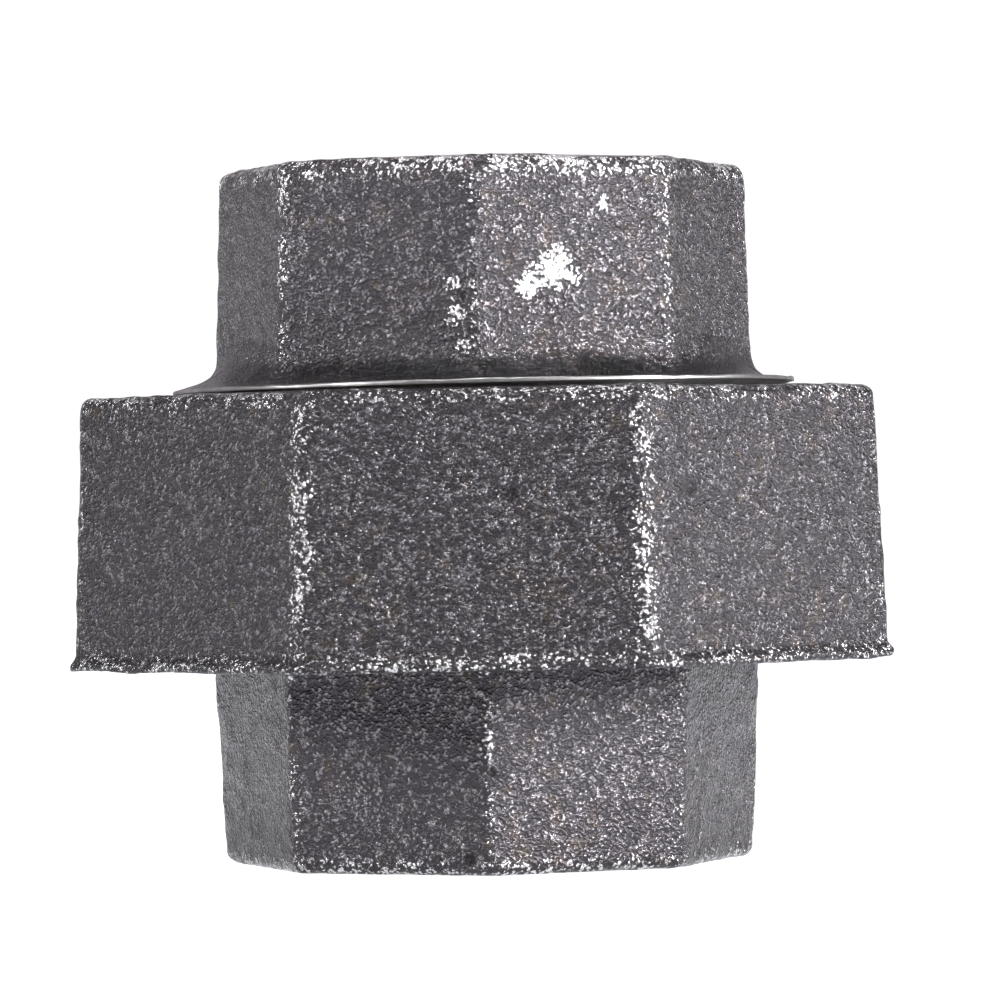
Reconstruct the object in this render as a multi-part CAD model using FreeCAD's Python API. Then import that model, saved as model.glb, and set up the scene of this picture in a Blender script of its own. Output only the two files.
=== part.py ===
"""Pipe union for 1 inch taper-threaded pipe, in malleable iron with a brass ground-joint seat.

Four pieces share the vertical axis. The tail piece stands at the bottom. Its collar is held by the
inner lip of the union nut, and its ball-shaped nose seals in the cone of the seat ring. The seat ring
sits in the mouth of the thread piece, whose outer union thread screws into the nut. Both ends are
octagonal hubs with a taper pipe thread inside.

Millimetres, +Z up. The origin is on the axis, at the flat end face of the tail piece.
"""

import FreeCAD, Part

import math
import os

from FreeCAD import Vector

# ---- pipe thread, 1 inch American standard taper ----
PIPE_THREADS_PER_INCH = 11.5
PIPE_PITCH_RADIUS = 15.730  # at the mouth of the fitting
PIPE_TAPER = 1.0 / 32.0  # change of radius along the axis
PIPE_THREAD_LENGTH = 17.0
PIPE_THREAD_HEIGHT = 1.767
PIPE_ROOT_FLAT = 0.085
COUNTERSINK_OVER_ROOT = 0.6
CHAMBER_OVER_ROOT = 0.6  # the cored waterway behind the thread
BUSH_WALL = 1.0  # metal worked as one ring with the thread, over the countersink

# ---- octagonal hubs of the two ends ----
HUB_WALL = 3.85  # from the pipe thread's root at the mouth to the flats at the free end
TAIL_HUB_LENGTH = 16.6  # what shows below the nut
TAIL_HUB_DRAFT = 2.6  # degrees, wider towards the nut
THREAD_HUB_LENGTH = 18.6  # from the flange's underside to the free end
THREAD_HUB_DRAFT = 1.3
HUB_CORNER_RADIUS = 1.3
TAIL_END_RADIUS = 0.9
THREAD_END_RADIUS = 1.2
THREAD_PIECE_CLOCKING = -2.0  # degrees about +Z that its octagon stands from the tail piece's

# ---- union nut ----
NUT_HEIGHT = 22.3
NUT_WALL = 6.1  # from the thread's root to the flats at the top face
NUT_DRAFT = 2.3  # degrees, wider towards the lip
NUT_CORNER_RADIUS = 1.2
NUT_TOP_RADIUS = 0.9
NUT_CLOCKING = 21.4  # puts a flat, not a corner, above the tail piece's corner
NUT_GAP = 0.5  # between its top face and the flange when made up
LIP_THICKNESS = 4.35
LIP_BEARING = 1.45  # how far the collar overhangs the lip
LIP_HOLE_CLEARANCE = 0.35  # radial, over the tail hub's corners
PARTING_FIN_REACH = 0.45  # casting flash left round the lower edge
PARTING_FIN_THICKNESS = 0.55

# ---- collar and ground joint ----
NECK_CLEARANCE = 0.3  # radial, in the lip hole
NECK_START = 0.6  # how far the hub runs up into the lip hole before it turns round
COLLAR_LIFT = 0.05  # axial play over the lip
COLLAR_HEIGHT = 4.7
COLLAR_CHAMFER = 0.5
SEAT_RADIUS = 19.2  # where the nose meets the cone
SEAT_ANGLE = 45.0  # between the cone and the axis
SEAT_GAP = 0.06  # along the seat's normal
SEAT_MOUTH_LAND = 0.65  # flat left round the mouth of the seat
SEAT_RING_WALL = 4.4
SEAT_RING_HEIGHT = 5.0
SEAT_RING_FIT = 0.05  # radial
SEAT_RING_LIFT = 0.05  # axial
NOSE_RIM = 0.4  # flat left round the waterway at the tip of the nose

# ---- union thread ----
UNION_THREADS_PER_INCH = 12.0
UNION_THREAD_DEPTH = 1.2
UNION_CREST_FLAT = 0.265
UNION_RADIAL_CLEARANCE = 0.15
UNION_FLANK_PLAY = 0.12  # along the axis, on each side
COLLAR_CLEARANCE = 0.35  # radial, when the collar goes in through the nut's thread
NUT_RELIEF = 0.3  # the collar's cavity, over the nut thread's root
NUT_THREAD_START = 5.3  # from the lip's bearing face
NUT_MOUTH_CHAMFER = 1.7
BARREL_END_GAP = 0.9  # between the collar and the thread piece's lower end
BARREL_CHAMFER = 1.3
UNDERCUT_WIDTH = 2.1
UNDERCUT_DEPTH = 0.15  # below the thread's root

# ---- cast flare between the thread piece's hub and its flange ----
FLANGE_RIM_THICKNESS = 0.35
FLARE_HEIGHT = 3.6
FLARE_SAG = 0.9  # how far the flare's middle lies below a straight line

# ---- worked out from the sizes above ----
SIDES = 8
TO_CORNER = 1.0 / math.cos(math.pi / SIDES)
FLANK_TAN = math.tan(math.radians(30.0))
MARGIN = 1.0  # how far a cutting shape runs past what it cuts
GROOVE_OVERRUN = 0.05  # how far a thread cutter runs past the wall it cuts

PIPE_PITCH = 25.4 / PIPE_THREADS_PER_INCH
PIPE_ROOT_RADIUS = PIPE_PITCH_RADIUS + PIPE_THREAD_HEIGHT / 2
DRILL_RADIUS = PIPE_PITCH_RADIUS - PIPE_THREAD_HEIGHT / 2
CHAMBER_RADIUS = PIPE_ROOT_RADIUS + CHAMBER_OVER_ROOT
COUNTERSINK_RADIUS = PIPE_ROOT_RADIUS + COUNTERSINK_OVER_ROOT
BUSH_RADIUS = COUNTERSINK_RADIUS + BUSH_WALL

Z_NUT_BOTTOM = TAIL_HUB_LENGTH
Z_NECK = Z_NUT_BOTTOM + NECK_START
Z_LIP_TOP = Z_NUT_BOTTOM + LIP_THICKNESS
Z_COLLAR = Z_LIP_TOP + COLLAR_LIFT
Z_COLLAR_TOP = Z_COLLAR + COLLAR_HEIGHT
Z_BARREL = Z_COLLAR_TOP + BARREL_END_GAP
Z_RING_TOP = Z_BARREL + SEAT_RING_HEIGHT
Z_NUT_THREAD = Z_LIP_TOP + NUT_THREAD_START
Z_NUT_TOP = Z_NUT_BOTTOM + NUT_HEIGHT
Z_FLANGE = Z_NUT_TOP + NUT_GAP
Z_UNDERCUT = Z_FLANGE - UNDERCUT_WIDTH
Z_TOP = Z_FLANGE + THREAD_HUB_LENGTH

HUB_END_APOTHEM = PIPE_ROOT_RADIUS + HUB_WALL
TAIL_INNER_APOTHEM = HUB_END_APOTHEM + Z_NECK * math.tan(math.radians(TAIL_HUB_DRAFT))
THREAD_INNER_APOTHEM = HUB_END_APOTHEM + THREAD_HUB_LENGTH * math.tan(math.radians(THREAD_HUB_DRAFT))
TAIL_CORNER_RADIUS = (TAIL_INNER_APOTHEM - HUB_CORNER_RADIUS) * TO_CORNER + HUB_CORNER_RADIUS

LIP_HOLE_RADIUS = TAIL_CORNER_RADIUS + LIP_HOLE_CLEARANCE
NECK_RADIUS = LIP_HOLE_RADIUS - NECK_CLEARANCE
COLLAR_RADIUS = LIP_HOLE_RADIUS + LIP_BEARING

UNION_PITCH = 25.4 / UNION_THREADS_PER_INCH
NUT_MINOR_RADIUS = COLLAR_RADIUS + COLLAR_CLEARANCE
UNION_ROOT_RADIUS = NUT_MINOR_RADIUS - UNION_RADIAL_CLEARANCE
UNION_CREST_RADIUS = UNION_ROOT_RADIUS + UNION_THREAD_DEPTH
NUT_MAJOR_RADIUS = UNION_CREST_RADIUS + UNION_RADIAL_CLEARANCE
NUT_CAVITY_RADIUS = NUT_MAJOR_RADIUS + NUT_RELIEF
NUT_TOP_APOTHEM = NUT_MAJOR_RADIUS + NUT_WALL
NUT_BOTTOM_APOTHEM = NUT_TOP_APOTHEM + NUT_HEIGHT * math.tan(math.radians(NUT_DRAFT))

SEAT_RING_RADIUS = CHAMBER_RADIUS + SEAT_RING_WALL
RING_BORE_RADIUS = SEAT_RING_RADIUS + SEAT_RING_FIT
SEAT_MOUTH_RADIUS = SEAT_RING_RADIUS - SEAT_MOUTH_LAND
SEAT_TAN = math.tan(math.radians(SEAT_ANGLE))
SEAT_SIN = math.sin(math.radians(SEAT_ANGLE))
Z_SEAT = Z_BARREL + (SEAT_MOUTH_RADIUS - SEAT_RADIUS) / SEAT_TAN
Z_SEAT_END = Z_BARREL + (SEAT_MOUTH_RADIUS - CHAMBER_RADIUS) / SEAT_TAN
NOSE_RADIUS = SEAT_RADIUS / math.cos(math.radians(SEAT_ANGLE))
Z_NOSE_CENTRE = Z_SEAT - SEAT_RADIUS * SEAT_TAN - SEAT_GAP / SEAT_SIN


def nose_height(radius):
    """Height of the ball-shaped nose at a distance from the axis."""
    return Z_NOSE_CENTRE + math.sqrt(NOSE_RADIUS ** 2 - radius ** 2)


def turned(profile):
    """Solid turned about the axis. Each corner is (radius, height). Two more numbers give a point
    that the arc to the next corner runs through."""
    edges = []
    for i, corner in enumerate(profile):
        following = profile[(i + 1) % len(profile)]
        start = Vector(corner[0], 0, corner[1])
        end = Vector(following[0], 0, following[1])
        if len(corner) == 4:
            edges.append(Part.Arc(start, Vector(corner[2], 0, corner[3]), end).toShape())
        else:
            edges.append(Part.makeLine(start, end))
    return Part.Face(Part.Wire(edges)).revolve(Vector(0, 0, 0), Vector(0, 0, 1), 360)


def octagon(apothem, z, clocking):
    """Octagon that has a corner towards -Y when its clocking is zero."""
    reach = apothem * TO_CORNER
    corners = []
    for i in range(SIDES + 1):
        angle = math.radians(clocking - 90.0) + 2 * math.pi * i / SIDES
        corners.append(Vector(reach * math.cos(angle), reach * math.sin(angle), z))
    return Part.makePolygon(corners)


def octagonal_block(low_apothem, low_z, high_apothem, high_z, clocking, corner_radius):
    """Tapered octagonal block with rounded upright edges."""
    ends = [octagon(low_apothem, low_z, clocking), octagon(high_apothem, high_z, clocking)]
    block = Part.makeLoft(ends, True, True)
    upright = [edge for edge in block.Edges if edge.BoundBox.ZLength > 0.5 * (high_z - low_z)]
    return block.makeFillet(corner_radius, upright)


def round_end(block, z, radius):
    """Round all the edges that lie at one height."""
    rim = []
    for edge in block.Edges:
        if max(abs(edge.BoundBox.ZMin - z), abs(edge.BoundBox.ZMax - z)) < 0.01:
            rim.append(edge)
    return block.makeFillet(radius, rim)


def groove_cutter(pitch, z_start, z_end, radius, bottom, depth, taper):
    """Right-hand helical cutter for a 60 degree thread. The groove is `bottom` wide at the given
    first radius and opens over `depth`, towards the axis when the depth is negative."""
    helix = Part.makeHelix(pitch, z_end - z_start, radius, math.degrees(math.atan(taper)))
    mouth = bottom + 2 * abs(depth) * FLANK_TAN
    corners = [
        Vector(radius, 0, -bottom / 2),
        Vector(radius, 0, bottom / 2),
        Vector(radius + depth, 0, mouth / 2),
        Vector(radius + depth, 0, -mouth / 2),
    ]
    sweep = Part.BRepOffsetAPI.MakePipeShell(Part.Wire(helix.Edges))
    sweep.setBiNormalMode(Vector(0, 0, 1))
    sweep.add(Part.makePolygon(corners + corners[:1]), False, False)
    sweep.build()
    sweep.makeSolid()
    cutter = sweep.shape()
    cutter.translate(Vector(0, 0, z_start))
    return cutter


def threaded_tube(wall_radius, back_radius, low, high, pitch, phase, radius, bottom, taper=0.0):
    """Tube between two heights with a thread all along one wall. The groove's bottom passes height
    `phase` at angle 0, and has `radius` at height 0. The tube is made two turns too long at each
    end, so the groove is cut inside it from end to end, and is then trimmed. The groove may begin
    anywhere round the circle, and the first beginning that takes out the right amount of metal is
    kept."""
    spare = 2 * pitch
    whole = [
        (wall_radius, low - spare),
        (back_radius, low - spare),
        (back_radius, high + spare),
        (wall_radius, high + spare),
    ]
    depth = wall_radius - radius
    depth += math.copysign(GROOVE_OVERRUN, depth)
    middle_radius = radius + taper * (low + high) / 2
    height = abs(wall_radius - middle_radius)
    section = height * (bottom + height * FLANK_TAN)
    expected = section * math.pi * (wall_radius + middle_radius) * (high - low) / pitch
    outer = max(wall_radius, back_radius) + MARGIN
    slice_to_keep = Part.makeCylinder(outer, high - low, Vector(0, 0, low))
    plain = turned(whole).common(slice_to_keep)
    for start in range(0, 360, 45):
        z_start = phase + pitch * start / 360
        z_start -= pitch * math.floor((z_start - low + spare) / pitch - 0.5)
        z_end = high + spare - (z_start - low + spare)
        cutter = groove_cutter(pitch, z_start, z_end, radius + taper * z_start, bottom, depth, taper)
        cutter.rotate(Vector(0, 0, 0), Vector(0, 0, 1), start)
        threaded = turned(whole).cut(cutter).common(slice_to_keep)
        taken = plain.Volume - threaded.Volume
        if threaded.isValid() and abs(taken / expected - 1) < 0.1:
            return threaded
    raise RuntimeError("no clean thread of pitch %.3f" % pitch)


def threaded_bush():
    """Ring round a taper pipe thread that goes down from a mouth at height 0, with the cone that
    opens into the chamber behind it. It is made of quarters, so each land of the thread is short."""
    z_cone = -PIPE_THREAD_LENGTH
    z_end = z_cone - (CHAMBER_RADIUS - DRILL_RADIUS)
    ring = threaded_tube(
        DRILL_RADIUS, BUSH_RADIUS, z_end, 0, PIPE_PITCH, 0, PIPE_ROOT_RADIUS, PIPE_ROOT_FLAT,
        PIPE_TAPER)
    ring = ring.cut(turned([
        (0, -COUNTERSINK_RADIUS),
        (COUNTERSINK_RADIUS + MARGIN, MARGIN),
        (0, MARGIN),
    ]))
    ring = ring.cut(turned([
        (0, z_end - MARGIN),
        (CHAMBER_RADIUS + MARGIN, z_end - MARGIN),
        (0, z_cone + DRILL_RADIUS),
    ]))
    quarters = []
    for i in range(4):
        wedge = Part.makeCylinder(
            BUSH_RADIUS + MARGIN, MARGIN - z_end, Vector(0, 0, z_end), Vector(0, 0, 1), 90)
        wedge.rotate(Vector(0, 0, 0), Vector(0, 0, 1), 90 * i + 11)
        quarters.append(ring.common(wedge))
    return quarters[0].fuse(quarters[1:])


def waterway(low, high):
    """Straight cored passage between two heights."""
    return Part.makeCylinder(CHAMBER_RADIUS, high - low, Vector(0, 0, low))


def bush_room():
    """Room for the threaded bush below a mouth at height 0."""
    depth = PIPE_THREAD_LENGTH + CHAMBER_RADIUS - DRILL_RADIUS
    return Part.makeCylinder(BUSH_RADIUS, depth + MARGIN, Vector(0, 0, -depth))


def tail_piece():
    """Lower hub, the collar the nut pulls on and the ball-shaped nose."""
    body = octagonal_block(
        HUB_END_APOTHEM, 0, TAIL_INNER_APOTHEM, Z_NECK, 0, HUB_CORNER_RADIUS)
    body = round_end(body, 0, TAIL_END_RADIUS)
    nose_foot = math.sqrt(NOSE_RADIUS ** 2 - (Z_COLLAR_TOP - Z_NOSE_CENTRE) ** 2)
    tip_radius = CHAMBER_RADIUS + NOSE_RIM
    body = body.fuse(turned([
        (0, Z_NECK - MARGIN),
        (CHAMBER_RADIUS + MARGIN, Z_NECK - MARGIN),
        (CHAMBER_RADIUS + MARGIN, Z_NECK),
        (NECK_RADIUS, Z_NECK),
        (NECK_RADIUS, Z_COLLAR),
        (COLLAR_RADIUS, Z_COLLAR),
        (COLLAR_RADIUS, Z_COLLAR_TOP - COLLAR_CHAMFER),
        (COLLAR_RADIUS - COLLAR_CHAMFER, Z_COLLAR_TOP),
        (nose_foot, Z_COLLAR_TOP, SEAT_RADIUS, nose_height(SEAT_RADIUS)),
        (tip_radius, nose_height(tip_radius)),
        (0, nose_height(tip_radius)),
    ]))
    body = body.cut(waterway(-MARGIN, nose_height(tip_radius) + MARGIN))
    room = bush_room()
    bush = threaded_bush()
    for shape in (room, bush):
        shape.rotate(Vector(0, 0, 0), Vector(1, 0, 0), 180)
    return body.cut(room).fuse(bush)


def thread_piece():
    """Upper hub, the flange over the nut and the barrel with the union thread."""
    body = octagonal_block(
        THREAD_INNER_APOTHEM, Z_FLANGE, HUB_END_APOTHEM, Z_TOP, THREAD_PIECE_CLOCKING,
        HUB_CORNER_RADIUS)
    body = round_end(body, Z_TOP, THREAD_END_RADIUS)
    rim_top = Z_FLANGE + FLANGE_RIM_THICKNESS
    flare_foot = THREAD_INNER_APOTHEM - 0.2
    flare_run = UNION_CREST_RADIUS - flare_foot
    flare_rise = FLARE_HEIGHT - FLANGE_RIM_THICKNESS
    slope = math.hypot(flare_run, flare_rise)
    sag_radius = UNION_CREST_RADIUS - flare_run / 2 - FLARE_SAG * flare_rise / slope
    sag_z = rim_top + flare_rise / 2 - FLARE_SAG * flare_run / slope
    undercut_radius = UNION_ROOT_RADIUS - UNDERCUT_DEPTH
    core_radius = (undercut_radius + RING_BORE_RADIUS) / 2
    body = body.fuse(turned([
        (0, Z_BARREL),
        (core_radius, Z_BARREL),
        (core_radius, Z_UNDERCUT),
        (undercut_radius, Z_UNDERCUT),
        (undercut_radius, Z_FLANGE),
        (UNION_CREST_RADIUS, Z_FLANGE),
        (UNION_CREST_RADIUS, rim_top, sag_radius, sag_z),
        (flare_foot, Z_FLANGE + FLARE_HEIGHT),
        (0, Z_FLANGE + FLARE_HEIGHT),
    ]))
    root_flat = UNION_PITCH - UNION_CREST_FLAT - 2 * UNION_THREAD_DEPTH * FLANK_TAN
    barrel = threaded_tube(
        UNION_CREST_RADIUS, core_radius, Z_BARREL, Z_UNDERCUT, UNION_PITCH, Z_BARREL,
        UNION_ROOT_RADIUS, root_flat)
    barrel = barrel.cut(turned([
        (UNION_CREST_RADIUS - BARREL_CHAMFER - MARGIN, Z_BARREL - MARGIN),
        (UNION_CREST_RADIUS + MARGIN, Z_BARREL - MARGIN),
        (UNION_CREST_RADIUS + MARGIN, Z_BARREL + BARREL_CHAMFER + MARGIN),
    ]))
    body = body.fuse(barrel)
    ring_room = Z_RING_TOP + SEAT_RING_LIFT - Z_BARREL
    body = body.cut(Part.makeCylinder(
        RING_BORE_RADIUS, ring_room + MARGIN, Vector(0, 0, Z_BARREL - MARGIN)))
    body = body.cut(waterway(Z_BARREL, Z_TOP + MARGIN))
    room = bush_room()
    bush = threaded_bush()
    for shape in (room, bush):
        shape.translate(Vector(0, 0, Z_TOP))
    return body.cut(room).fuse(bush)


def union_nut():
    """Octagonal nut with its union thread above the inner lip."""
    body = octagonal_block(
        NUT_BOTTOM_APOTHEM, Z_NUT_BOTTOM, NUT_TOP_APOTHEM, Z_NUT_TOP, NUT_CLOCKING,
        NUT_CORNER_RADIUS)
    body = round_end(body, Z_NUT_TOP, NUT_TOP_RADIUS)
    fin_apothem = NUT_BOTTOM_APOTHEM + PARTING_FIN_REACH
    body = body.fuse(octagonal_block(
        fin_apothem, Z_NUT_BOTTOM, fin_apothem - PARTING_FIN_THICKNESS * FLANK_TAN,
        Z_NUT_BOTTOM + PARTING_FIN_THICKNESS, NUT_CLOCKING, NUT_CORNER_RADIUS))
    body = body.cut(Part.makeCylinder(
        NUT_MINOR_RADIUS, Z_NUT_TOP + MARGIN - Z_LIP_TOP, Vector(0, 0, Z_LIP_TOP)))
    root_flat = UNION_CREST_FLAT - 2 * UNION_RADIAL_CLEARANCE * FLANK_TAN + 2 * UNION_FLANK_PLAY
    back_radius = NUT_CAVITY_RADIUS + NUT_MOUTH_CHAMFER
    thread_low = Z_NUT_THREAD - UNION_PITCH / 2
    body = body.cut(Part.makeCylinder(
        back_radius, Z_NUT_TOP + MARGIN - thread_low, Vector(0, 0, thread_low)))
    body = body.fuse(threaded_tube(
        NUT_MINOR_RADIUS, back_radius, thread_low, Z_NUT_TOP, UNION_PITCH,
        Z_BARREL + UNION_PITCH / 2, NUT_MAJOR_RADIUS, root_flat))
    return body.cut(turned([
        (0, Z_NUT_BOTTOM - MARGIN),
        (LIP_HOLE_RADIUS, Z_NUT_BOTTOM - MARGIN),
        (LIP_HOLE_RADIUS, Z_LIP_TOP),
        (NUT_CAVITY_RADIUS, Z_LIP_TOP),
        (NUT_CAVITY_RADIUS, Z_NUT_THREAD),
        (NUT_MINOR_RADIUS - MARGIN, Z_NUT_THREAD + NUT_CAVITY_RADIUS - NUT_MINOR_RADIUS + MARGIN),
        (NUT_MINOR_RADIUS - MARGIN, Z_NUT_TOP - NUT_MOUTH_CHAMFER - MARGIN),
        (NUT_MINOR_RADIUS + NUT_MOUTH_CHAMFER + MARGIN, Z_NUT_TOP + MARGIN),
        (0, Z_NUT_TOP + MARGIN),
    ]))


def seat_ring():
    """Brass ring with the cone the nose seals against."""
    return turned([
        (SEAT_MOUTH_RADIUS, Z_BARREL),
        (SEAT_RING_RADIUS, Z_BARREL),
        (SEAT_RING_RADIUS, Z_RING_TOP),
        (CHAMBER_RADIUS, Z_RING_TOP),
        (CHAMBER_RADIUS, Z_SEAT_END),
    ])


NODES = {
    "tail_piece": tail_piece,
    "union_nut": union_nut,
    "seat_ring": seat_ring,
    "thread_piece": thread_piece,
}

os.makedirs("parts", exist_ok=True)
for name, make in NODES.items():
    shape = make()
    if shape.ShapeType == "Compound" and len(shape.Solids) == 1:
        shape = shape.Solids[0]
    print(name, shape.isValid(), len(shape.Solids), len(shape.Faces), round(shape.Volume, 1))
    shape.exportStep("parts/" + name + ".step")
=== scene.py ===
"""Pipe union in black malleable iron, standing on a pale floor under soft studio light.

Each casting is one closed mesh, laid out as rings of points round the axis. The rings follow the
section of the piece, and the threads are rows of points that run along their helix. Sizes are in
millimetres and repeat the CAD; heights that differ between pieces are read from the frame.
"""

import itertools
import math

import bpy
import numpy as np
from mathutils import Euler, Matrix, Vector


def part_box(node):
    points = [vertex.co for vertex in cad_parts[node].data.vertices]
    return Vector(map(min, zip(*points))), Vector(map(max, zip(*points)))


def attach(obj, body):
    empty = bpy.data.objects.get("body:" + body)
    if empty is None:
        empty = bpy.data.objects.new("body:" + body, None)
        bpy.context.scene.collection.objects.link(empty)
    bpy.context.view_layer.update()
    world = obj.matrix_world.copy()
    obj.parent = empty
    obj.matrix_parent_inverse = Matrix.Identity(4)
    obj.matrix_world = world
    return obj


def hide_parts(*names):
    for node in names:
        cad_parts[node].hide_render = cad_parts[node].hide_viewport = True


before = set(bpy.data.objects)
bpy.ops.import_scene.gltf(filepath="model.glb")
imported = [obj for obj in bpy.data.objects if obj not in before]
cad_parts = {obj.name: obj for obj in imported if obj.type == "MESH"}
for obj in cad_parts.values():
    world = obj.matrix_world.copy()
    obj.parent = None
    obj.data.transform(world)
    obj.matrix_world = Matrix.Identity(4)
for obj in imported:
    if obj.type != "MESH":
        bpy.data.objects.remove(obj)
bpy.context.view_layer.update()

MM = 0.001
TAU = 2 * math.pi
SIDES = 8
TAN_FLANK = math.tan(math.radians(30.0))


def levels(node):
    """Lowest and highest height of a CAD node, in millimetres."""
    low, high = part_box(node)
    return low[2] / MM, high[2] / MM


Z_NUT, Z_NUT_TOP = levels("union_nut")
Z_BARREL, Z_TOP = levels("thread_piece")
Z_RING, Z_RING_TOP = levels("seat_ring")
Z_FLANGE = Z_NUT_TOP + 0.5
Z_NECK = Z_NUT + 0.6
Z_LIP_TOP = Z_NUT + 4.35
Z_COLLAR = Z_LIP_TOP + 0.05
Z_COLLAR_TOP = Z_COLLAR + 4.7
Z_NUT_THREAD = Z_LIP_TOP + 5.3
Z_UNDERCUT = Z_FLANGE - 2.1

PIPE_PITCH = 25.4 / 11.5
PIPE_ROOT = 16.6135
PIPE_DRILL = 14.8465
PIPE_LENGTH = 17.0
CHAMBER = 17.2135
UNION_PITCH = 25.4 / 12.0
MALE_ROOT = 24.888
MALE_CREST = 26.088
FEMALE_CREST = 25.038
FEMALE_ROOT = 26.238
CAVITY = 26.538
LIP_HOLE = 23.238
NECK = 22.938
COLLAR = 24.688
HUB_END = 20.4635
TAIL_DRAFT = math.tan(math.radians(2.6))
HEAD_DRAFT = math.tan(math.radians(1.3))
NUT_DRAFT = math.tan(math.radians(2.3))
NUT_TOP_APOTHEM = 32.338
NOSE_RADIUS = 27.1529
Z_NOSE_CENTRE = 9.0786
SEAT_RING_OUTER = 21.6135
SEAT_MOUTH = 20.9635
TAIL_CLOCKING = 0.0
HEAD_CLOCKING = -2.0
NUT_CLOCKING = 21.4
HUB_CORNER = 1.3  # radius of the hubs' upright edges
NUT_CORNER = 1.2
TAIL_EDGE = 0.9  # rounding of the end faces' edges
HEAD_EDGE = 1.2
NUT_EDGE = 0.9
BARREL_CHAMFER = 1.3
NUT_MOUTH_CHAMFER = 1.7
RIM_HEIGHT = 0.35
FLARE_HEIGHT = 3.6
FLARE_SAG = 0.9
FILLET = 1.5  # width of the blend between the flare and the hub
FIN_REACH = 0.45

# the castings are not quite true to their threads
NUT_LEAN = math.tan(math.radians(0.35))
NUT_SHIFT = 0.25
NUT_RAISE = 0.17
FLANGE_LEAN = math.tan(math.radians(0.7))
FLANGE_RAISE = 0.08

# how rubbed each upright edge is, from the one at the clocking round to the right; wear below
# nought is painted shade, painted near black into the flare and the blow holes
TAIL_WEAR = (0.45, 0.35, 0.5, 0.5, 0.5, 0.5, 0.5, 0.5)
HEAD_WEAR = (0.35, 0.45, 0.5, 0.5, 0.6, 0.5, 0.5, 0.7)
NUT_WEAR = (0.7, 0.4, 0.7, 0.7, 0.7, 0.7, 0.4, 0.7)

CAST, MACHINED = 0, 1


# ---- noise and small helpers ----
def noise(points, size, seed):
    """Smooth noise in -1..1 whose cells are `size` across."""
    scaled = np.asarray(points, float) / size + 1000.0
    cell = np.floor(scaled).astype(np.int64)
    part = scaled - cell
    fade = part ** 3 * (part * (part * 6 - 15) + 10)
    total = np.zeros(len(scaled))
    for corner in itertools.product((0, 1), repeat=3):
        c = cell + np.array(corner)
        h = (c[:, 0] * 374761393 + c[:, 1] * 668265263 + c[:, 2] * 3266489917 + seed * 1274126177)
        h &= 0xFFFFFFFF
        h = ((h ^ (h >> 13)) * 1274126177) & 0xFFFFFFFF
        value = ((h ^ (h >> 16)) & 0xFFFF) / 32767.5 - 1
        weight = np.where(np.array(corner) == 1, fade, 1 - fade).prod(axis=1)
        total += weight * value
    return total


def smooth_max(a, b, width):
    """The larger of a and b, with a fillet about `width` across where they cross."""
    h = np.clip(0.5 + 0.5 * (a - b) / width, 0, 1)
    return b + (a - b) * h + width * h * (1 - h)


def stations(clocking, count=44):
    """Angles round an octagon, closer together at its corners."""
    t = np.arange(count) / count - 0.5
    warped = 0.38 * t + 0.62 * np.sign(t) * 0.5 * (2 * np.abs(t)) ** 2.0
    sector = np.radians(45.0) * warped
    middles = np.radians(clocking - 90.0) + np.arange(SIDES) * math.pi / 4
    return (middles[:, None] + sector[None, :]).ravel()


def octagon(angles, apothem, clocking, rounding):
    """Radius of an octagon with rounded corners in each direction."""
    turn = angles - math.radians(clocking - 90.0)
    off = np.abs((turn + math.pi / 8) % (math.pi / 4) - math.pi / 8)
    centre = (apothem - rounding) / math.cos(math.pi / 8)
    tangent = math.atan2(
        rounding * math.sin(math.pi / 8), centre + rounding * math.cos(math.pi / 8))
    flat = apothem / np.cos(math.pi / 8 - off)
    arc = centre * np.cos(off) + np.sqrt(np.maximum(rounding ** 2 - (centre * np.sin(off)) ** 2, 0))
    return np.where(off > tangent, flat, arc)


def corner_wear(angles, clocking, radius, width, strengths):
    """Wear along the upright edges. Each corner has its own strength, from the one at the clocking
    round to the right."""
    turn = angles - math.radians(clocking - 90.0)
    nearest = np.round(turn / (math.pi / 4))
    off = np.abs(turn - nearest * math.pi / 4) * radius
    return np.array(strengths)[nearest.astype(int) % SIDES] * np.exp(-(off / width) ** 2)


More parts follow.
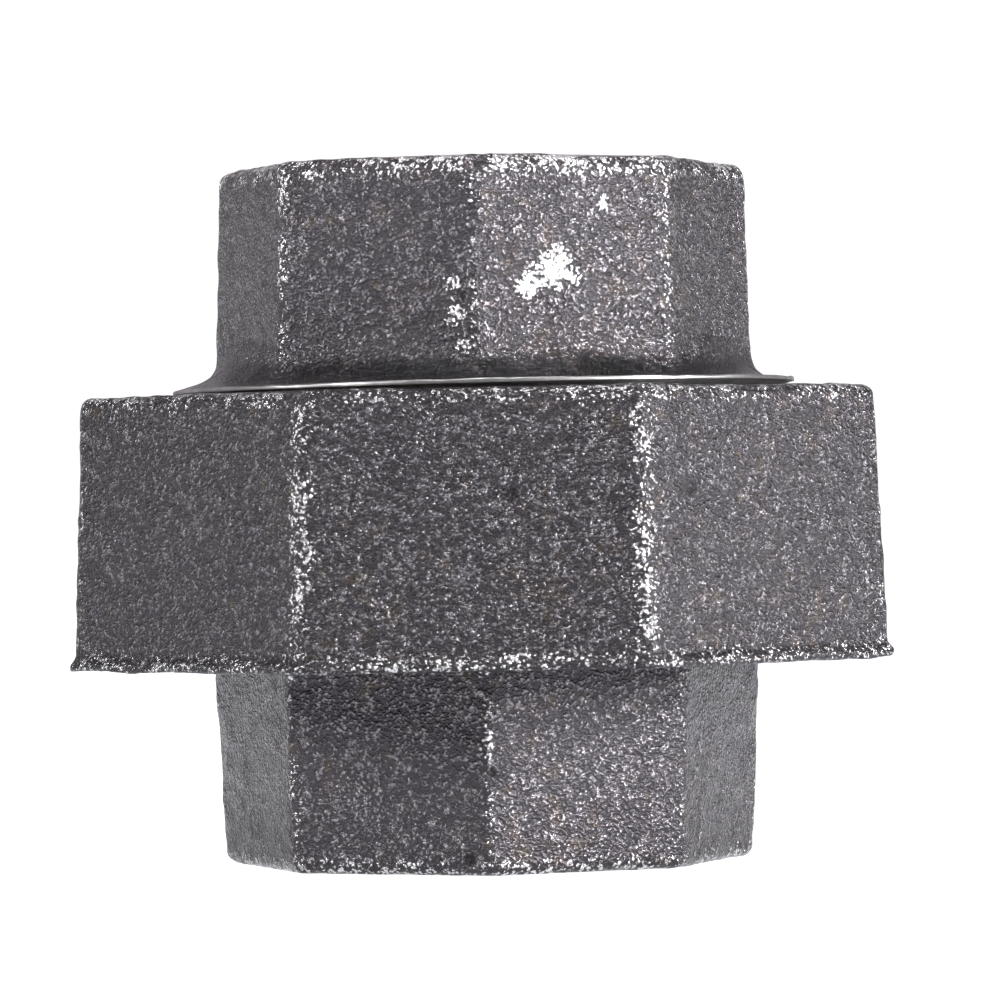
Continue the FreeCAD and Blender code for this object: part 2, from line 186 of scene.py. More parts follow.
# ---- the ring mesh ----
class Casting:
    """Closed mesh made of rings of points round the axis."""

    def __init__(self, name, angles):
        self.name = name
        self.angles = angles
        self.count = len(angles)
        self.cos = np.cos(angles)
        self.sin = np.sin(angles)
        self.points = []
        self.cast = []
        self.edge = []
        self.faces = []
        self.finish = []
        self.last = None  # the ring that `go` joins to
        self.at = None  # the corner that `run` goes on from

    def add(self, radius, height, cast=0.0, edge=0.0):
        """A ring of points; radius, height and the two weights may vary round it."""
        start = sum(len(p) for p in self.points)
        radius = np.broadcast_to(radius, self.count)
        height = np.broadcast_to(height, self.count)
        self.points.append(np.stack([radius * self.cos, radius * self.sin, height], axis=1))
        self.cast.append(np.broadcast_to(cast, self.count))
        self.edge.append(np.broadcast_to(edge, self.count))
        return np.arange(start, start + self.count)

    def bridge(self, low, high, finish):
        """Quads from one ring to the next along the section."""
        after_low = np.roll(low, -1)
        after_high = np.roll(high, -1)
        for quad in zip(low.tolist(), after_low.tolist(), after_high.tolist(), high.tolist()):
            self.faces.append(quad)
        self.finish += [finish] * self.count

    def go(self, radius, height, cast=0.0, edge=0.0, finish=CAST):
        """Add a ring and join it to the last one."""
        ring = self.add(radius, height, cast, edge)
        if self.last is not None:
            self.bridge(self.last, ring, finish)
        self.last = ring
        return ring

    def run(self, corners, step, finish=MACHINED):
        """Rings along a path of (radius, height) corners, at most `step` apart."""
        for r, z in corners:
            if self.last is not None:
                r0, z0 = self.at
                pieces = max(1, math.ceil(math.hypot(r - r0, z - z0) / step))
                for i in range(1, pieces + 1):
                    self.go(r0 + (r - r0) * i / pieces, z0 + (z - z0) * i / pieces, finish=finish)
            else:
                self.go(r, z, finish=finish)
            self.at = (r, z)

    def thread(self, low, high, z_low, z_high, pitch, phase, radius, rows, inward):
        """Rows of points along a helix, between two rings. Where a row runs past a ring it is held
        at that ring's points. A turn further on, row i is row i + rows."""
        full = np.append(self.angles, self.angles[0] + TAU)
        lift = pitch * full / TAU
        first = math.floor((z_low - phase - lift.max()) / pitch) * rows
        last = math.ceil((z_high - phase - lift.min()) / pitch) * rows
        start = sum(len(p) for p in self.points)
        index = {}
        fresh = []
        for i in range(first, last + rows + 1):
            heights = phase + pitch * i / rows + lift[:-1]
            for j, z in enumerate(heights):
                if z <= z_low + 0.03:
                    index[i, j] = int(low[j])
                elif z >= z_high - 0.03:
                    index[i, j] = int(high[j])
                else:
                    index[i, j] = start + len(fresh)
                    fresh.append((j, z))
        columns = np.array([j for j, z in fresh])
        heights = np.array([z for j, z in fresh])
        r = radius(self.angles[columns], heights)
        self.points.append(np.stack([r * self.cos[columns], r * self.sin[columns], heights], axis=1))
        self.cast.append(np.zeros(len(fresh)))
        self.edge.append(np.zeros(len(fresh)))
        for i in range(first, last):
            for j in range(self.count):
                if j + 1 < self.count:
                    right, right_up = index[i, j + 1], index[i + 1, j + 1]
                else:
                    right, right_up = index[i + rows, 0], index[i + rows + 1, 0]
                loop = [index[i, j], right, right_up, index[i + 1, j]]
                loop = [v for k, v in enumerate(loop) if v != loop[k - 1]]
                if len(set(loop)) < 3:
                    continue
                self.faces.append(tuple(reversed(loop)) if inward else tuple(loop))
                self.finish.append(MACHINED)

    def build(self, shape=None, floor=-1.0):
        """Make the mesh object. `shape` may move the points before the cast surface is roughened,
        and no point goes below `floor`."""
        points = np.concatenate(self.points)
        cast = np.concatenate(self.cast)
        edge = np.concatenate(self.edge)
        if shape is not None:
            points = shape(points, cast)
        mesh = bpy.data.meshes.new(self.name)
        mesh.from_pydata((points * MM).tolist(), [], self.faces)
        mesh.update()
        normals = np.empty(len(points) * 3)
        mesh.vertex_normals.foreach_get("vector", normals)
        normals = normals.reshape(-1, 3)
        worn_and_shaded = edge.copy()
        points = roughen(points, normals, cast, edge, worn_and_shaded, self.name)
        points[:, 2] = np.maximum(points[:, 2], floor)
        mesh.vertices.foreach_set("co", (points * MM).ravel())
        mesh.polygons.foreach_set("material_index", self.finish)
        mesh.polygons.foreach_set("use_smooth", [True] * len(self.faces))
        layer = mesh.attributes.new("wear_and_shade", "FLOAT", "POINT")
        layer.data.foreach_set("value", worn_and_shaded)
        mesh.update()
        mesh.validate()
        piece = bpy.data.objects.new(self.name, mesh)
        bpy.context.scene.collection.objects.link(piece)
        return piece


SEEDS = {"tail_casting": 11, "nut_casting": 23, "head_casting": 37, "brass_seat": 41}
# where the skin is rubbed bright: (piece, angle round the axis, height, radius, strength)
RUBBED = [
    ("head_casting", -74.0, 48.6, 1.9, 1.5),
    ("head_casting", -79.3, 47.4, 1.1, 1.4),
    ("head_casting", -69.5, 47.8, 0.9, 1.3),
    ("head_casting", -95.8, 47.6, 0.9, 0.9),
    ("head_casting", -95.3, 45.2, 1.2, 1.0),
    ("head_casting", -94.0, 42.8, 1.0, 0.9),
    ("head_casting", -93.5, 55.3, 0.8, 0.8),
    ("head_casting", -61.5, 54.0, 0.6, 1.3),
]
# blow holes: (piece, angle, height, radius, depth)
PITS = [
    ("head_casting", -94.0, 46.6, 0.42, 0.3),
    ("head_casting", -90.4, 57.0, 0.5, 0.3),
    ("nut_casting", -86.5, 30.5, 0.5, 0.25),
    ("nut_casting", -61.0, 31.0, 0.45, 0.25),
    ("tail_casting", -89.0, 8.3, 0.5, 0.3),
    ("tail_casting", -94.0, 1.2, 0.6, 0.3),
]


def roughen(points, normals, cast, edge, worn_and_shaded, name):
    """Sand-cast lumps, ragged edges, rubbed patches and blow holes. `worn_and_shaded` is changed in place."""
    seed = SEEDS[name]
    push = 0.055 * noise(points, 4.5, seed)
    push += 0.05 * noise(points, 1.7, seed + 1)
    push += 0.055 * noise(points, 0.85, seed + 2)
    push += edge * (0.06 * noise(points, 1.1, seed + 3) - 0.03)
    patchy = noise(points, 2.4, seed + 4) * 0.6 + noise(points, 0.9, seed + 5) * 0.4
    worn_and_shaded *= np.clip(0.85 + 0.8 * patchy, 0, 1.2)
    for piece, angle, height, radius, strength in RUBBED:
        if piece == name:
            reach = np.hypot(points[:, 0], points[:, 1])
            turn = np.arctan2(points[:, 1], points[:, 0]) - math.radians(angle)
            turn = (turn + math.pi) % TAU - math.pi
            away = np.hypot(turn * reach, points[:, 2] - height) / radius
            away += 0.55 * noise(points, 1.2, seed + 6)
            patch = strength * np.clip(1.3 - away, 0, 1)
            worn_and_shaded[:] = np.where(patch > 0, np.maximum(worn_and_shaded, patch), worn_and_shaded)
    for piece, angle, height, radius, depth in PITS:
        if piece == name:
            reach = np.hypot(points[:, 0], points[:, 1])
            turn = np.arctan2(points[:, 1], points[:, 0]) - math.radians(angle)
            turn = (turn + math.pi) % TAU - math.pi
            away = np.hypot(turn * reach, points[:, 2] - height) / radius
            push -= depth * np.exp(-away ** 2)
            # painted shade: the blow hole's colour is pushed towards black
            worn_and_shaded -= 1.5 * np.exp(-away ** 2)
    worn_and_shaded *= cast > 0
    return points + normals * (push * cast)[:, None]


# ---- thread sections ----
def pipe_wall(mouth_at, direction):
    """Wall radius of the taper pipe thread, with its countersink and the cone behind it."""
    def wall(angles, z):
        depth = (z - mouth_at) * direction
        phase = (z - mouth_at - PIPE_PITCH * angles / TAU) % PIPE_PITCH
        off = np.abs((phase + PIPE_PITCH / 2) % PIPE_PITCH - PIPE_PITCH / 2)
        root = PIPE_ROOT - depth / 32
        groove = root - np.maximum(off - 0.0425, 0) / TAN_FLANK
        r = np.maximum(groove, PIPE_DRILL)
        r = np.maximum(r, CHAMBER - depth)
        return np.maximum(r, np.minimum(PIPE_DRILL + depth - PIPE_LENGTH, CHAMBER))
    return wall


def male_wall(angles, z):
    """Radius of the thread on the barrel."""
    phase = (z - Z_BARREL - UNION_PITCH * angles / TAU) % UNION_PITCH
    off = np.abs((phase + UNION_PITCH / 2) % UNION_PITCH - UNION_PITCH / 2)
    r = np.clip(MALE_ROOT + (off - 0.233) / TAN_FLANK, MALE_ROOT, MALE_CREST)
    return np.minimum(r, MALE_CREST - BARREL_CHAMFER + (z - Z_BARREL))


def female_wall(angles, z):
    """Wall radius of the nut's thread, its mouth chamfer and the cavity's cone."""
    phase = (z - Z_BARREL - UNION_PITCH / 2 - UNION_PITCH * angles / TAU) % UNION_PITCH
    off = np.abs((phase + UNION_PITCH / 2) % UNION_PITCH - UNION_PITCH / 2)
    r = np.clip(FEMALE_ROOT - (off - 0.166) / TAN_FLANK, FEMALE_CREST, FEMALE_ROOT)
    r = np.maximum(r, FEMALE_CREST + NUT_MOUTH_CHAMFER - (Z_NUT_TOP - z))
    return np.maximum(r, CAVITY - (z - Z_NUT_THREAD))


# ---- the castings ----
def hub_end(casting, clocking, apothem_at, z_end, upward, rounding, strengths, rim):
    """Rings from the flat end face round its edge onto the hub's sides, or the other way. The
    edge's wear is `rim`."""
    steps = 7
    order = range(steps + 1) if upward else range(steps, -1, -1)
    sign = 1 if upward else -1
    for i in order:
        turn = math.pi / 2 * i / steps
        inset = rounding * (1 - math.sin(turn))
        z = z_end + sign * rounding * (1 - math.cos(turn))
        a = apothem_at(z) - inset
        r = octagon(casting.angles, a, clocking, max(HUB_CORNER - 0.5 * inset, 0.3))
        edge = corner_wear(casting.angles, clocking, a, 0.9, strengths)
        edge = np.maximum(edge, rim * math.sin(math.pi * min(i + 2, steps) / (steps + 2)))
        casting.go(r, z, cast=1.0, edge=edge, finish=CAST)


def tail():
    """The lower hub, its collar and its ball-shaped nose."""
    c = Casting("tail_casting", stations(TAIL_CLOCKING))
    apothem = lambda z: HUB_END + TAIL_DRAFT * z
    mouth = c.go(CHAMBER, 0, finish=MACHINED)
    for r in (17.7, 18.3):
        c.go(r, 0, finish=MACHINED)
    round_part = octagon(c.angles, 19.0, TAIL_CLOCKING, 2.0)
    c.go(0.5 * (18.9 + round_part), 0, finish=MACHINED)
    hub_end(c, TAIL_CLOCKING, apothem, 0, True, TAIL_EDGE, TAIL_WEAR, 0.7)
    rows = 44
    for i in range(1, rows + 1):
        z = TAIL_EDGE + (Z_NECK - TAIL_EDGE) * i / rows
        edge = corner_wear(c.angles, TAIL_CLOCKING, 22.0, 0.8, TAIL_WEAR)
        edge = np.maximum(edge, 0.4 * math.exp(-((z - TAIL_EDGE) / 0.7) ** 2))
        cast = 1.0 if z < Z_NUT - 0.3 else 0.35
        c.go(octagon(c.angles, apothem(z), TAIL_CLOCKING, HUB_CORNER), z, cast, edge, CAST)
    c.at = (NECK - 0.15, Z_NECK)
    c.go(*c.at, finish=MACHINED)
    c.run([
        (NECK, Z_NECK + 0.15), (NECK, Z_COLLAR), (COLLAR - 0.2, Z_COLLAR), (COLLAR, Z_COLLAR + 0.2),
        (COLLAR, Z_COLLAR_TOP - 0.5), (COLLAR - 0.5, Z_COLLAR_TOP),
    ], 0.6)
    foot = math.sqrt(NOSE_RADIUS ** 2 - (Z_COLLAR_TOP - Z_NOSE_CENTRE) ** 2)
    c.run([(foot, Z_COLLAR_TOP)], 0.6)
    start = math.asin(foot / NOSE_RADIUS)
    end = math.asin((CHAMBER + 0.4) / NOSE_RADIUS)
    for i in range(1, 19):
        turn = start + (end - start) * i / 18
        c.at = (NOSE_RADIUS * math.sin(turn), Z_NOSE_CENTRE + NOSE_RADIUS * math.cos(turn))
        c.go(*c.at, finish=MACHINED)
    bore_top = PIPE_LENGTH + CHAMBER - PIPE_DRILL
    c.run([(CHAMBER, c.at[1])], 0.6)
    c.run([(CHAMBER, bore_top)], 0.9, CAST)
    c.thread(mouth, c.last, 0, bore_top, PIPE_PITCH, 0, pipe_wall(0, 1), 10, True)
    return c.build(floor=0.0)


def head():
    """The upper hub, its flare and flange, and the barrel with the union thread."""
    c = Casting("head_casting", stations(HEAD_CLOCKING))
    apothem = lambda z: HUB_END + HEAD_DRAFT * (Z_TOP - z)
    barrel = c.go(MALE_CREST - BARREL_CHAMFER, Z_BARREL, finish=MACHINED)
    crest = c.add(male_wall(c.angles, np.full(c.count, Z_UNDERCUT)), Z_UNDERCUT)
    c.thread(barrel, crest, Z_BARREL, Z_UNDERCUT, UNION_PITCH, Z_BARREL, male_wall, 12, False)
    c.last = crest
    c.at = (MALE_ROOT - 0.15, Z_UNDERCUT)
    c.go(*c.at, finish=MACHINED)
    c.run([(MALE_ROOT - 0.15, Z_FLANGE), (MALE_CREST - 0.3, Z_FLANGE)], 0.6)
    # the flange's turned rim, a little wavy
    around = np.stack([np.cos(c.angles), np.sin(c.angles), 0 * c.angles], axis=1) * 26.0
    waver = 0.04 * noise(around, 3.0, 61) + 0.02 * noise(around, 1.1, 62)
    for back, up in ((0.03, 0.0), (0.0, 0.06), (0.0, 0.16), (0.0, 0.25), (0.04, 0.32), (0.12, 0.37)):
        c.go(MALE_CREST - 0.05 - back + waver, Z_FLANGE + up + waver * (up > 0.1), finish=MACHINED)
    # the cast flare, an arc that the octagon grows out of
    foot = HUB_END + HEAD_DRAFT * (Z_TOP - Z_FLANGE) - 0.2
    run, rise = MALE_CREST - foot, FLARE_HEIGHT - RIM_HEIGHT
    span = math.hypot(run, rise)
    bend = (span ** 2 / 4 + FLARE_SAG ** 2) / (2 * FLARE_SAG)
    mid = np.array([MALE_CREST - run / 2, Z_FLANGE + RIM_HEIGHT + rise / 2])
    away = np.array([rise, run]) / span
    centre = mid + away * (bend - FLARE_SAG)
    z_values = Z_FLANGE + RIM_HEIGHT + rise * (np.arange(1, 21) / 20) ** 1.35
    for k, z in enumerate(z_values):
        flare = centre[0] - math.sqrt(max(bend ** 2 - (z - centre[1]) ** 2, 0))
        hub = octagon(c.angles, apothem(z), HEAD_CLOCKING, HUB_CORNER)
        corner = corner_wear(c.angles, HEAD_CLOCKING, 22.0, 0.8, HEAD_WEAR)
        corner *= np.clip((hub - flare) / 0.8, 0, 1)
        # painted shade: the weight goes below nought low in the flare, which paints the skin near black
        # there
        corner -= 0.7 * np.exp(-((z - Z_FLANGE - 1.3) / 1.1) ** 2)
        c.go(smooth_max(hub, flare, FILLET), z, min(1.0, 0.3 + k / 6), corner, CAST)
    z0 = z_values[-1]
    z1 = Z_TOP - HEAD_EDGE
    rows = 38
    for i in range(1, rows):
        z = z0 + (z1 - z0) * i / rows
        hub = octagon(c.angles, apothem(z), HEAD_CLOCKING, HUB_CORNER)
        edge = corner_wear(c.angles, HEAD_CLOCKING, 22.0, 0.8, HEAD_WEAR)
        edge = np.maximum(edge, 0.55 * math.exp(-((z1 - z) / 0.8) ** 2))
        c.go(hub, z, 1.0, edge, CAST)
    hub_end(c, HEAD_CLOCKING, apothem, Z_TOP, False, HEAD_EDGE, HEAD_WEAR, 1.1)
    round_part = octagon(c.angles, 18.9, HEAD_CLOCKING, 2.0)
    c.go(0.5 * (18.8 + round_part), Z_TOP, finish=MACHINED)
    for r in (18.3, 17.7):
        c.go(r, Z_TOP, finish=MACHINED)
    mouth = c.go(CHAMBER, Z_TOP, finish=MACHINED)
    bore_low = Z_TOP - PIPE_LENGTH - CHAMBER + PIPE_DRILL
    chamber = c.add(CHAMBER, bore_low)
    c.thread(chamber, mouth, bore_low, Z_TOP, PIPE_PITCH, Z_TOP,
             pipe_wall(Z_TOP, -1), 10, True)
    c.last = chamber
    c.at = (CHAMBER, bore_low)
    shoulder = Z_RING_TOP + 0.05
    bore = SEAT_RING_OUTER + 0.05
    c.run([(CHAMBER, shoulder)], 0.9, CAST)
    c.run([(bore, shoulder), (bore, Z_BARREL)], 0.8)
    c.run([(MALE_CREST - 1.4, Z_BARREL)], 0.6)
    c.bridge(c.last, barrel, MACHINED)

    def lean(points, cast):
        points = points.copy()
        reach = np.hypot(points[:, 0], points[:, 1])
        fade = 1 - np.clip((points[:, 2] - Z_FLANGE - 0.4) / 3.2, 0, 1)
        share = fade * np.clip(reach - MALE_ROOT, 0, 1) * (points[:, 2] > Z_FLANGE - 0.01)
        points[:, 2] += share * (FLANGE_RAISE + FLANGE_LEAN * points[:, 0])
        return points
    return c.build(lean)


def nut():
    """The union nut, with the casting fin round its lower edge."""
    c = Casting("nut_casting", stations(NUT_CLOCKING, 52))
    apothem = lambda z: NUT_TOP_APOTHEM + NUT_DRAFT * (Z_NUT_TOP - z)
    lip = c.go(LIP_HOLE + 0.25, Z_NUT, finish=MACHINED)
    for i in range(1, 15):
        t = i / 14
        octo = octagon(c.angles, apothem(Z_NUT) - 0.9, NUT_CLOCKING, NUT_CORNER)
        blend = t ** 0.8
        c.go((LIP_HOLE + 0.25) * (1 - blend) + octo * blend, Z_NUT, min(1.0, 0.2 + t), 0.0, CAST)
    at_corner = corner_wear(c.angles, NUT_CLOCKING, 34.5, 1.2, NUT_WEAR)
    # the fin: thin, wavy and nearly bare
    around = np.stack([np.cos(c.angles), np.sin(c.angles), 0 * c.angles], axis=1) * 34.0
    wave = 0.16 * noise(around, 5.0, 71) + 0.12 * noise(around, 1.8, 72)
    droop = 0.12 * noise(around, 4.0, 73)
    for inset, z, bare in (
        (0.42, 0.0, 0.3), (0.16, 0.03, 0.4), (0.03, 0.16, 0.5), (0.0, 0.36, 0.6), (0.03, 0.56, 0.6),
        (0.12, 0.74, 0.6), (0.26, 0.9, 0.55), (0.38, 1.08, 0.5),
    ):
        r = octagon(c.angles, apothem(Z_NUT) + FIN_REACH - inset, NUT_CLOCKING, NUT_CORNER)
        c.go(r + wave * (1 - inset), Z_NUT + z + droop * (z > 0), 1.0, bare, CAST)
    rows = 60
    z0, z1 = Z_NUT + 1.3, Z_NUT_TOP - NUT_EDGE
    for i in range(rows + 1):
        z = z0 + (z1 - z0) * i / rows
        edge = np.maximum(at_corner, 0.5 * math.exp(-((z1 - z) / 0.6) ** 2))
        edge = np.maximum(edge, 0.35 * math.exp(-((z - z0) / 0.5) ** 2))
        c.go(octagon(c.angles, apothem(z), NUT_CLOCKING, NUT_CORNER), z, 1.0, edge, CAST)
    steps = 7
    for i in range(1, steps + 1):
        turn = math.pi / 2 * i / steps
        inset = NUT_EDGE * (1 - math.cos(turn))
        z = z1 + NUT_EDGE * math.sin(turn)
        r = octagon(c.angles, apothem(z) - inset, NUT_CLOCKING, max(NUT_CORNER - 0.4 * inset, 0.3))
        edge = np.maximum(at_corner, 0.9 * math.sin(math.pi * i / (steps + 1)))
        c.go(r, z, 1.0, edge, CAST)
    outer = octagon(c.angles, apothem(Z_NUT_TOP) - NUT_EDGE, NUT_CLOCKING, 0.8)
    mouth_radius = FEMALE_CREST + NUT_MOUTH_CHAMFER
    for i in range(1, 14):
        t = i / 14
        r = outer * (1 - t) + (mouth_radius + 0.1) * t
        cast = float(np.clip(1.6 - 1.6 * t, 0, 1))
        c.go(r, Z_NUT_TOP, cast, 0.25 * (1 - t), CAST if t < 0.8 else MACHINED)
    mouth = c.go(mouth_radius, Z_NUT_TOP, finish=MACHINED)
    low = c.add(CAVITY, Z_NUT_THREAD)
    c.thread(low, mouth, Z_NUT_THREAD, Z_NUT_TOP, UNION_PITCH, Z_BARREL + UNION_PITCH / 2,
             female_wall, 12, True)
    c.last = low
    c.at = (CAVITY, Z_NUT_THREAD)
    c.run([(CAVITY, Z_LIP_TOP), (LIP_HOLE + 0.2, Z_LIP_TOP), (LIP_HOLE, Z_LIP_TOP - 0.2)], 0.8)
    c.run([(LIP_HOLE, Z_NUT + 0.25)], 0.8)
    c.bridge(c.last, lip, MACHINED)

    def lean(points, cast):
        points = points.copy()
        reach = np.hypot(points[:, 0], points[:, 1])
        share = np.clip((reach - 27.5) / 5.0, 0, 1) * (cast > 0)
        middle = (Z_NUT + Z_NUT_TOP) / 2
        x = points[:, 0].copy()
        points[:, 0] -= share * (NUT_SHIFT + NUT_LEAN * (points[:, 2] - middle))
        points[:, 2] += share * (NUT_RAISE + NUT_LEAN * x)
        return points
    return c.build(lean)


def seat():
    """The brass ring with the conical seat."""
    angles = np.arange(288) * TAU / 288
    c = Casting("brass_seat", angles)
    c.at = (SEAT_MOUTH, Z_RING)
    first = c.go(*c.at, finish=CAST)
    c.run([
        (SEAT_RING_OUTER - 0.2, Z_RING), (SEAT_RING_OUTER, Z_RING + 0.2),
        (SEAT_RING_OUTER, Z_RING + 2.2), (SEAT_RING_OUTER - 0.12, Z_RING + 2.35),
        (SEAT_RING_OUTER - 0.12, Z_RING + 2.75), (SEAT_RING_OUTER, Z_RING + 2.9),
        (SEAT_RING_OUTER, Z_RING_TOP - 0.25), (SEAT_RING_OUTER - 0.25, Z_RING_TOP),
        (CHAMBER + 0.2, Z_RING_TOP), (CHAMBER, Z_RING_TOP - 0.2),
        (CHAMBER, Z_RING + SEAT_MOUTH - CHAMBER),
    ], 0.3, CAST)
    steps = 14
    for i in range(1, steps):
        r = CHAMBER + (SEAT_MOUTH - CHAMBER) * i / steps
        c.go(r, Z_RING + SEAT_MOUTH - r, finish=CAST)
    c.bridge(c.last, first, CAST)
    return c.build()


# ---- materials ----
SPAN = ("From Min", "From Max", "To Min", "To Max")


class Nodes:
    """Short hand for building a material's nodes."""

    def __init__(self, name):
        self.material = bpy.data.materials.new(name)
        self.material.use_nodes = True
        self.tree = self.material.node_tree
        self.tree.nodes.clear()
        self.shader = self.node("ShaderNodeBsdfPrincipled")
        out = self.node("ShaderNodeOutputMaterial")
        self.link(self.shader.outputs["BSDF"], out.inputs["Surface"])

    def node(self, kind, **settings):
        n = self.tree.nodes.new(kind)
        for key, value in settings.items():
            setattr(n, key, value)
        return n

    def link(self, source, target):
        self.tree.links.new(source, target)

    def put(self, value, socket):
        if isinstance(value, bpy.types.NodeSocket):
            self.link(value, socket)
        else:
            socket.default_value = value

    def noise(self, where, scale, detail=2.0, rough=0.5):
        n = self.node("ShaderNodeTexNoise")
        self.link(where, n.inputs["Vector"])
        n.inputs["Scale"].default_value = scale
        n.inputs["Detail"].default_value = detail
        n.inputs["Roughness"].default_value = rough
        return n.outputs["Fac"]

    def cells(self, where, scale, smoothness):
        n = self.node("ShaderNodeTexVoronoi", feature="SMOOTH_F1")
        self.link(where, n.inputs["Vector"])
        n.inputs["Scale"].default_value = scale
        n.inputs["Smoothness"].default_value = smoothness
        return n.outputs["Distance"]

    def math(self, operation, a, b=0.0, c=0.0, clamp=False):
        n = self.node("ShaderNodeMath", operation=operation, use_clamp=clamp)
        self.put(a, n.inputs[0])
        self.put(b, n.inputs[1])
        self.put(c, n.inputs[2])
        return n.outputs[0]

    def span(self, value, low, high, to_low=0.0, to_high=1.0):
        n = self.node("ShaderNodeMapRange", interpolation_type="SMOOTHSTEP")
        self.put(value, n.inputs["Value"])
        for key, number in zip(SPAN, (low, high, to_low, to_high)):
            n.inputs[key].default_value = number
        return n.outputs["Result"]

    def mix(self, factor, a, b):
        n = self.node("ShaderNodeMix", data_type="RGBA")
        self.put(factor, n.inputs["Factor"])
        for value, socket in ((a, n.inputs["A"]), (b, n.inputs["B"])):
            if isinstance(value, bpy.types.NodeSocket):
                self.link(value, socket)
            else:
                socket.default_value = (*value, 1.0)
        return n.outputs["Result"]


def skin(name, dark, mid, bright):
    """Black sand-cast iron: irregular grains about a third of a millimetre across, with painted shade
    between them and a painted highlight on their tops, bare grey metal where the edges are rubbed,
    and painted shade, near black, in the flare and the blow holes."""
    m = Nodes(name)
    where = m.node("ShaderNodeTexCoord").outputs["Object"]
    warp = m.node("ShaderNodeTexNoise")
    m.link(where, warp.inputs["Vector"])
    warp.inputs["Scale"].default_value = 2600.0
    warp.inputs["Detail"].default_value = 1.0
    shift = m.node("ShaderNodeVectorMath", operation="MULTIPLY_ADD")
    m.link(warp.outputs["Color"], shift.inputs[0])
    shift.inputs[1].default_value = (0.0005, 0.0005, 0.0005)
    m.link(where, shift.inputs[2])
    grain = m.math("SUBTRACT", 1.0, m.cells(shift.outputs[0], 2900.0, 0.2))
    fine = m.noise(where, 4600.0, 2.0, 0.6)
    clump = m.noise(where, 1300.0, 2.0, 0.5)
    broad = m.noise(where, 140.0, 3.0, 0.6)
    height = m.math("MULTIPLY_ADD", fine, 1.3, m.math("MULTIPLY_ADD", clump, 1.0, grain))
    # painted highlight and painted shade: the grain tops take the mid colour, and the hollows between
    # them take the dark one
    painted_peak_highlight = m.span(height, 1.62, 2.15)
    wear_and_shade = m.node("ShaderNodeAttribute", attribute_name="wear_and_shade").outputs["Fac"]
    rubbed = m.span(m.math("MULTIPLY_ADD", wear_and_shade, 0.55, height), 1.95, 2.3)
    bare = m.math("MULTIPLY", m.span(wear_and_shade, 0.12, 0.5), rubbed)
    scraped = m.span(m.math("MULTIPLY_ADD", height, 0.7, wear_and_shade), 2.25, 2.6)
    bare = m.math("MAXIMUM", bare, scraped)
    rust = m.math("MULTIPLY", m.span(m.noise(where, 650.0, 2.0, 0.6), 0.5, 0.7), m.span(broad, 0.4, 0.6))
    tint = m.mix(rust, dark, tuple(v * k for v, k in zip(dark, (1.5, 1.3, 0.95))))
    colour = m.mix(painted_peak_highlight, tint, mid)
    colour = m.mix(bare, colour, bright)
    # painted shade: weights below nought turn the colour near black, in the flare and the blow holes
    colour = m.mix(m.span(wear_and_shade, -0.7, 0.0, 0.75, 0.0), colour, PAINTED_SHADE_BLACK)
    m.link(colour, m.shader.inputs["Base Color"])
    m.shader.inputs["Metallic"].default_value = 0.8
    m.link(m.span(height, 1.4, 2.1, 0.27, 0.17), m.shader.inputs["Roughness"])
    bump = m.node("ShaderNodeBump")
    bump.inputs["Distance"].default_value = 0.00011
    m.link(m.math("SUBTRACT", 1.0, m.math("MULTIPLY", scraped, 0.5)), bump.inputs["Strength"])
    m.link(height, bump.inputs["Height"])
    m.link(bump.outputs["Normal"], m.shader.inputs["Normal"])
    return m.material


def cut_metal(name, colour):
    """Turned metal with fine tool lines round the axis and a little tarnish."""
    m = Nodes(name)
    where = m.node("ShaderNodeTexCoord").outputs["Object"]
    parts = m.node("ShaderNodeSeparateXYZ")
    m.link(where, parts.inputs[0])
    x, y, z = parts.outputs
    reach = m.math("SQRT", m.math("MULTIPLY_ADD", x, x, m.math("MULTIPLY", y, y)))
    along = m.math("ADD", m.math("MULTIPLY", z, 0.8), reach)
    comb = m.node("ShaderNodeCombineXYZ")
    m.link(along, comb.inputs[2])
    rings = m.noise(comb.outputs[0], 9000.0, 2.0, 0.6)
    stain = m.noise(where, 260.0, 4.0, 0.65)
    dull = tuple(v * 0.45 for v in colour)
    m.link(m.mix(m.span(stain, 0.35, 0.7), dull, colour), m.shader.inputs["Base Color"])
    m.shader.inputs["Metallic"].default_value = 1.0
    m.link(m.span(stain, 0.3, 0.75, 0.5, 0.28), m.shader.inputs["Roughness"])
    bump = m.node("ShaderNodeBump")
    bump.inputs["Strength"].default_value = 0.35
    bump.inputs["Distance"].default_value = 0.00002
    m.link(rings, bump.inputs["Height"])
    m.link(bump.outputs["Normal"], m.shader.inputs["Normal"])
    return m.material


# skin colours: black iron that is also the painted shade between the grains, a painted highlight for the
# grain tops, and bare rubbed metal
IRON_DARK_AND_CREVICE_SHADE = (0.026, 0.0235, 0.0265)
IRON_PEAK_HIGHLIGHT = (0.15, 0.14, 0.152)
IRON_BRIGHT = (0.5, 0.49, 0.5)
PAINTED_SHADE_BLACK = (0.004, 0.004, 0.004)
NUT_TONE, END_TONE = 0.75, 1.08  # the nut's skin colours are scaled darker than the two ends'
bare_iron = cut_metal("machined_iron", (0.42, 0.41, 0.41))
brass = cut_metal("turned_brass", (0.72, 0.52, 0.24))
for build, body, node, slot in (
    (tail, "tail", "tail_piece", "tail_iron"),
    (head, "thread_end", "thread_piece", "thread_iron"),
    (nut, "nut", "union_nut", "nut_iron"),
    (seat, "seat", "seat_ring", "seat_brass"),
):
    piece = build()
    if node == "seat_ring":
        piece.data.materials.append(brass)
    else:
        tone = NUT_TONE if node == "union_nut" else END_TONE
        shades = [tuple(v * tone for v in shade) for shade in (IRON_DARK_AND_CREVICE_SHADE, IRON_PEAK_HIGHLIGHT, IRON_BRIGHT)]
        piece.data.materials.append(skin(node + "_skin", *shades))
        piece.data.materials.append(bare_iron)
    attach(piece, body)
    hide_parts(node)


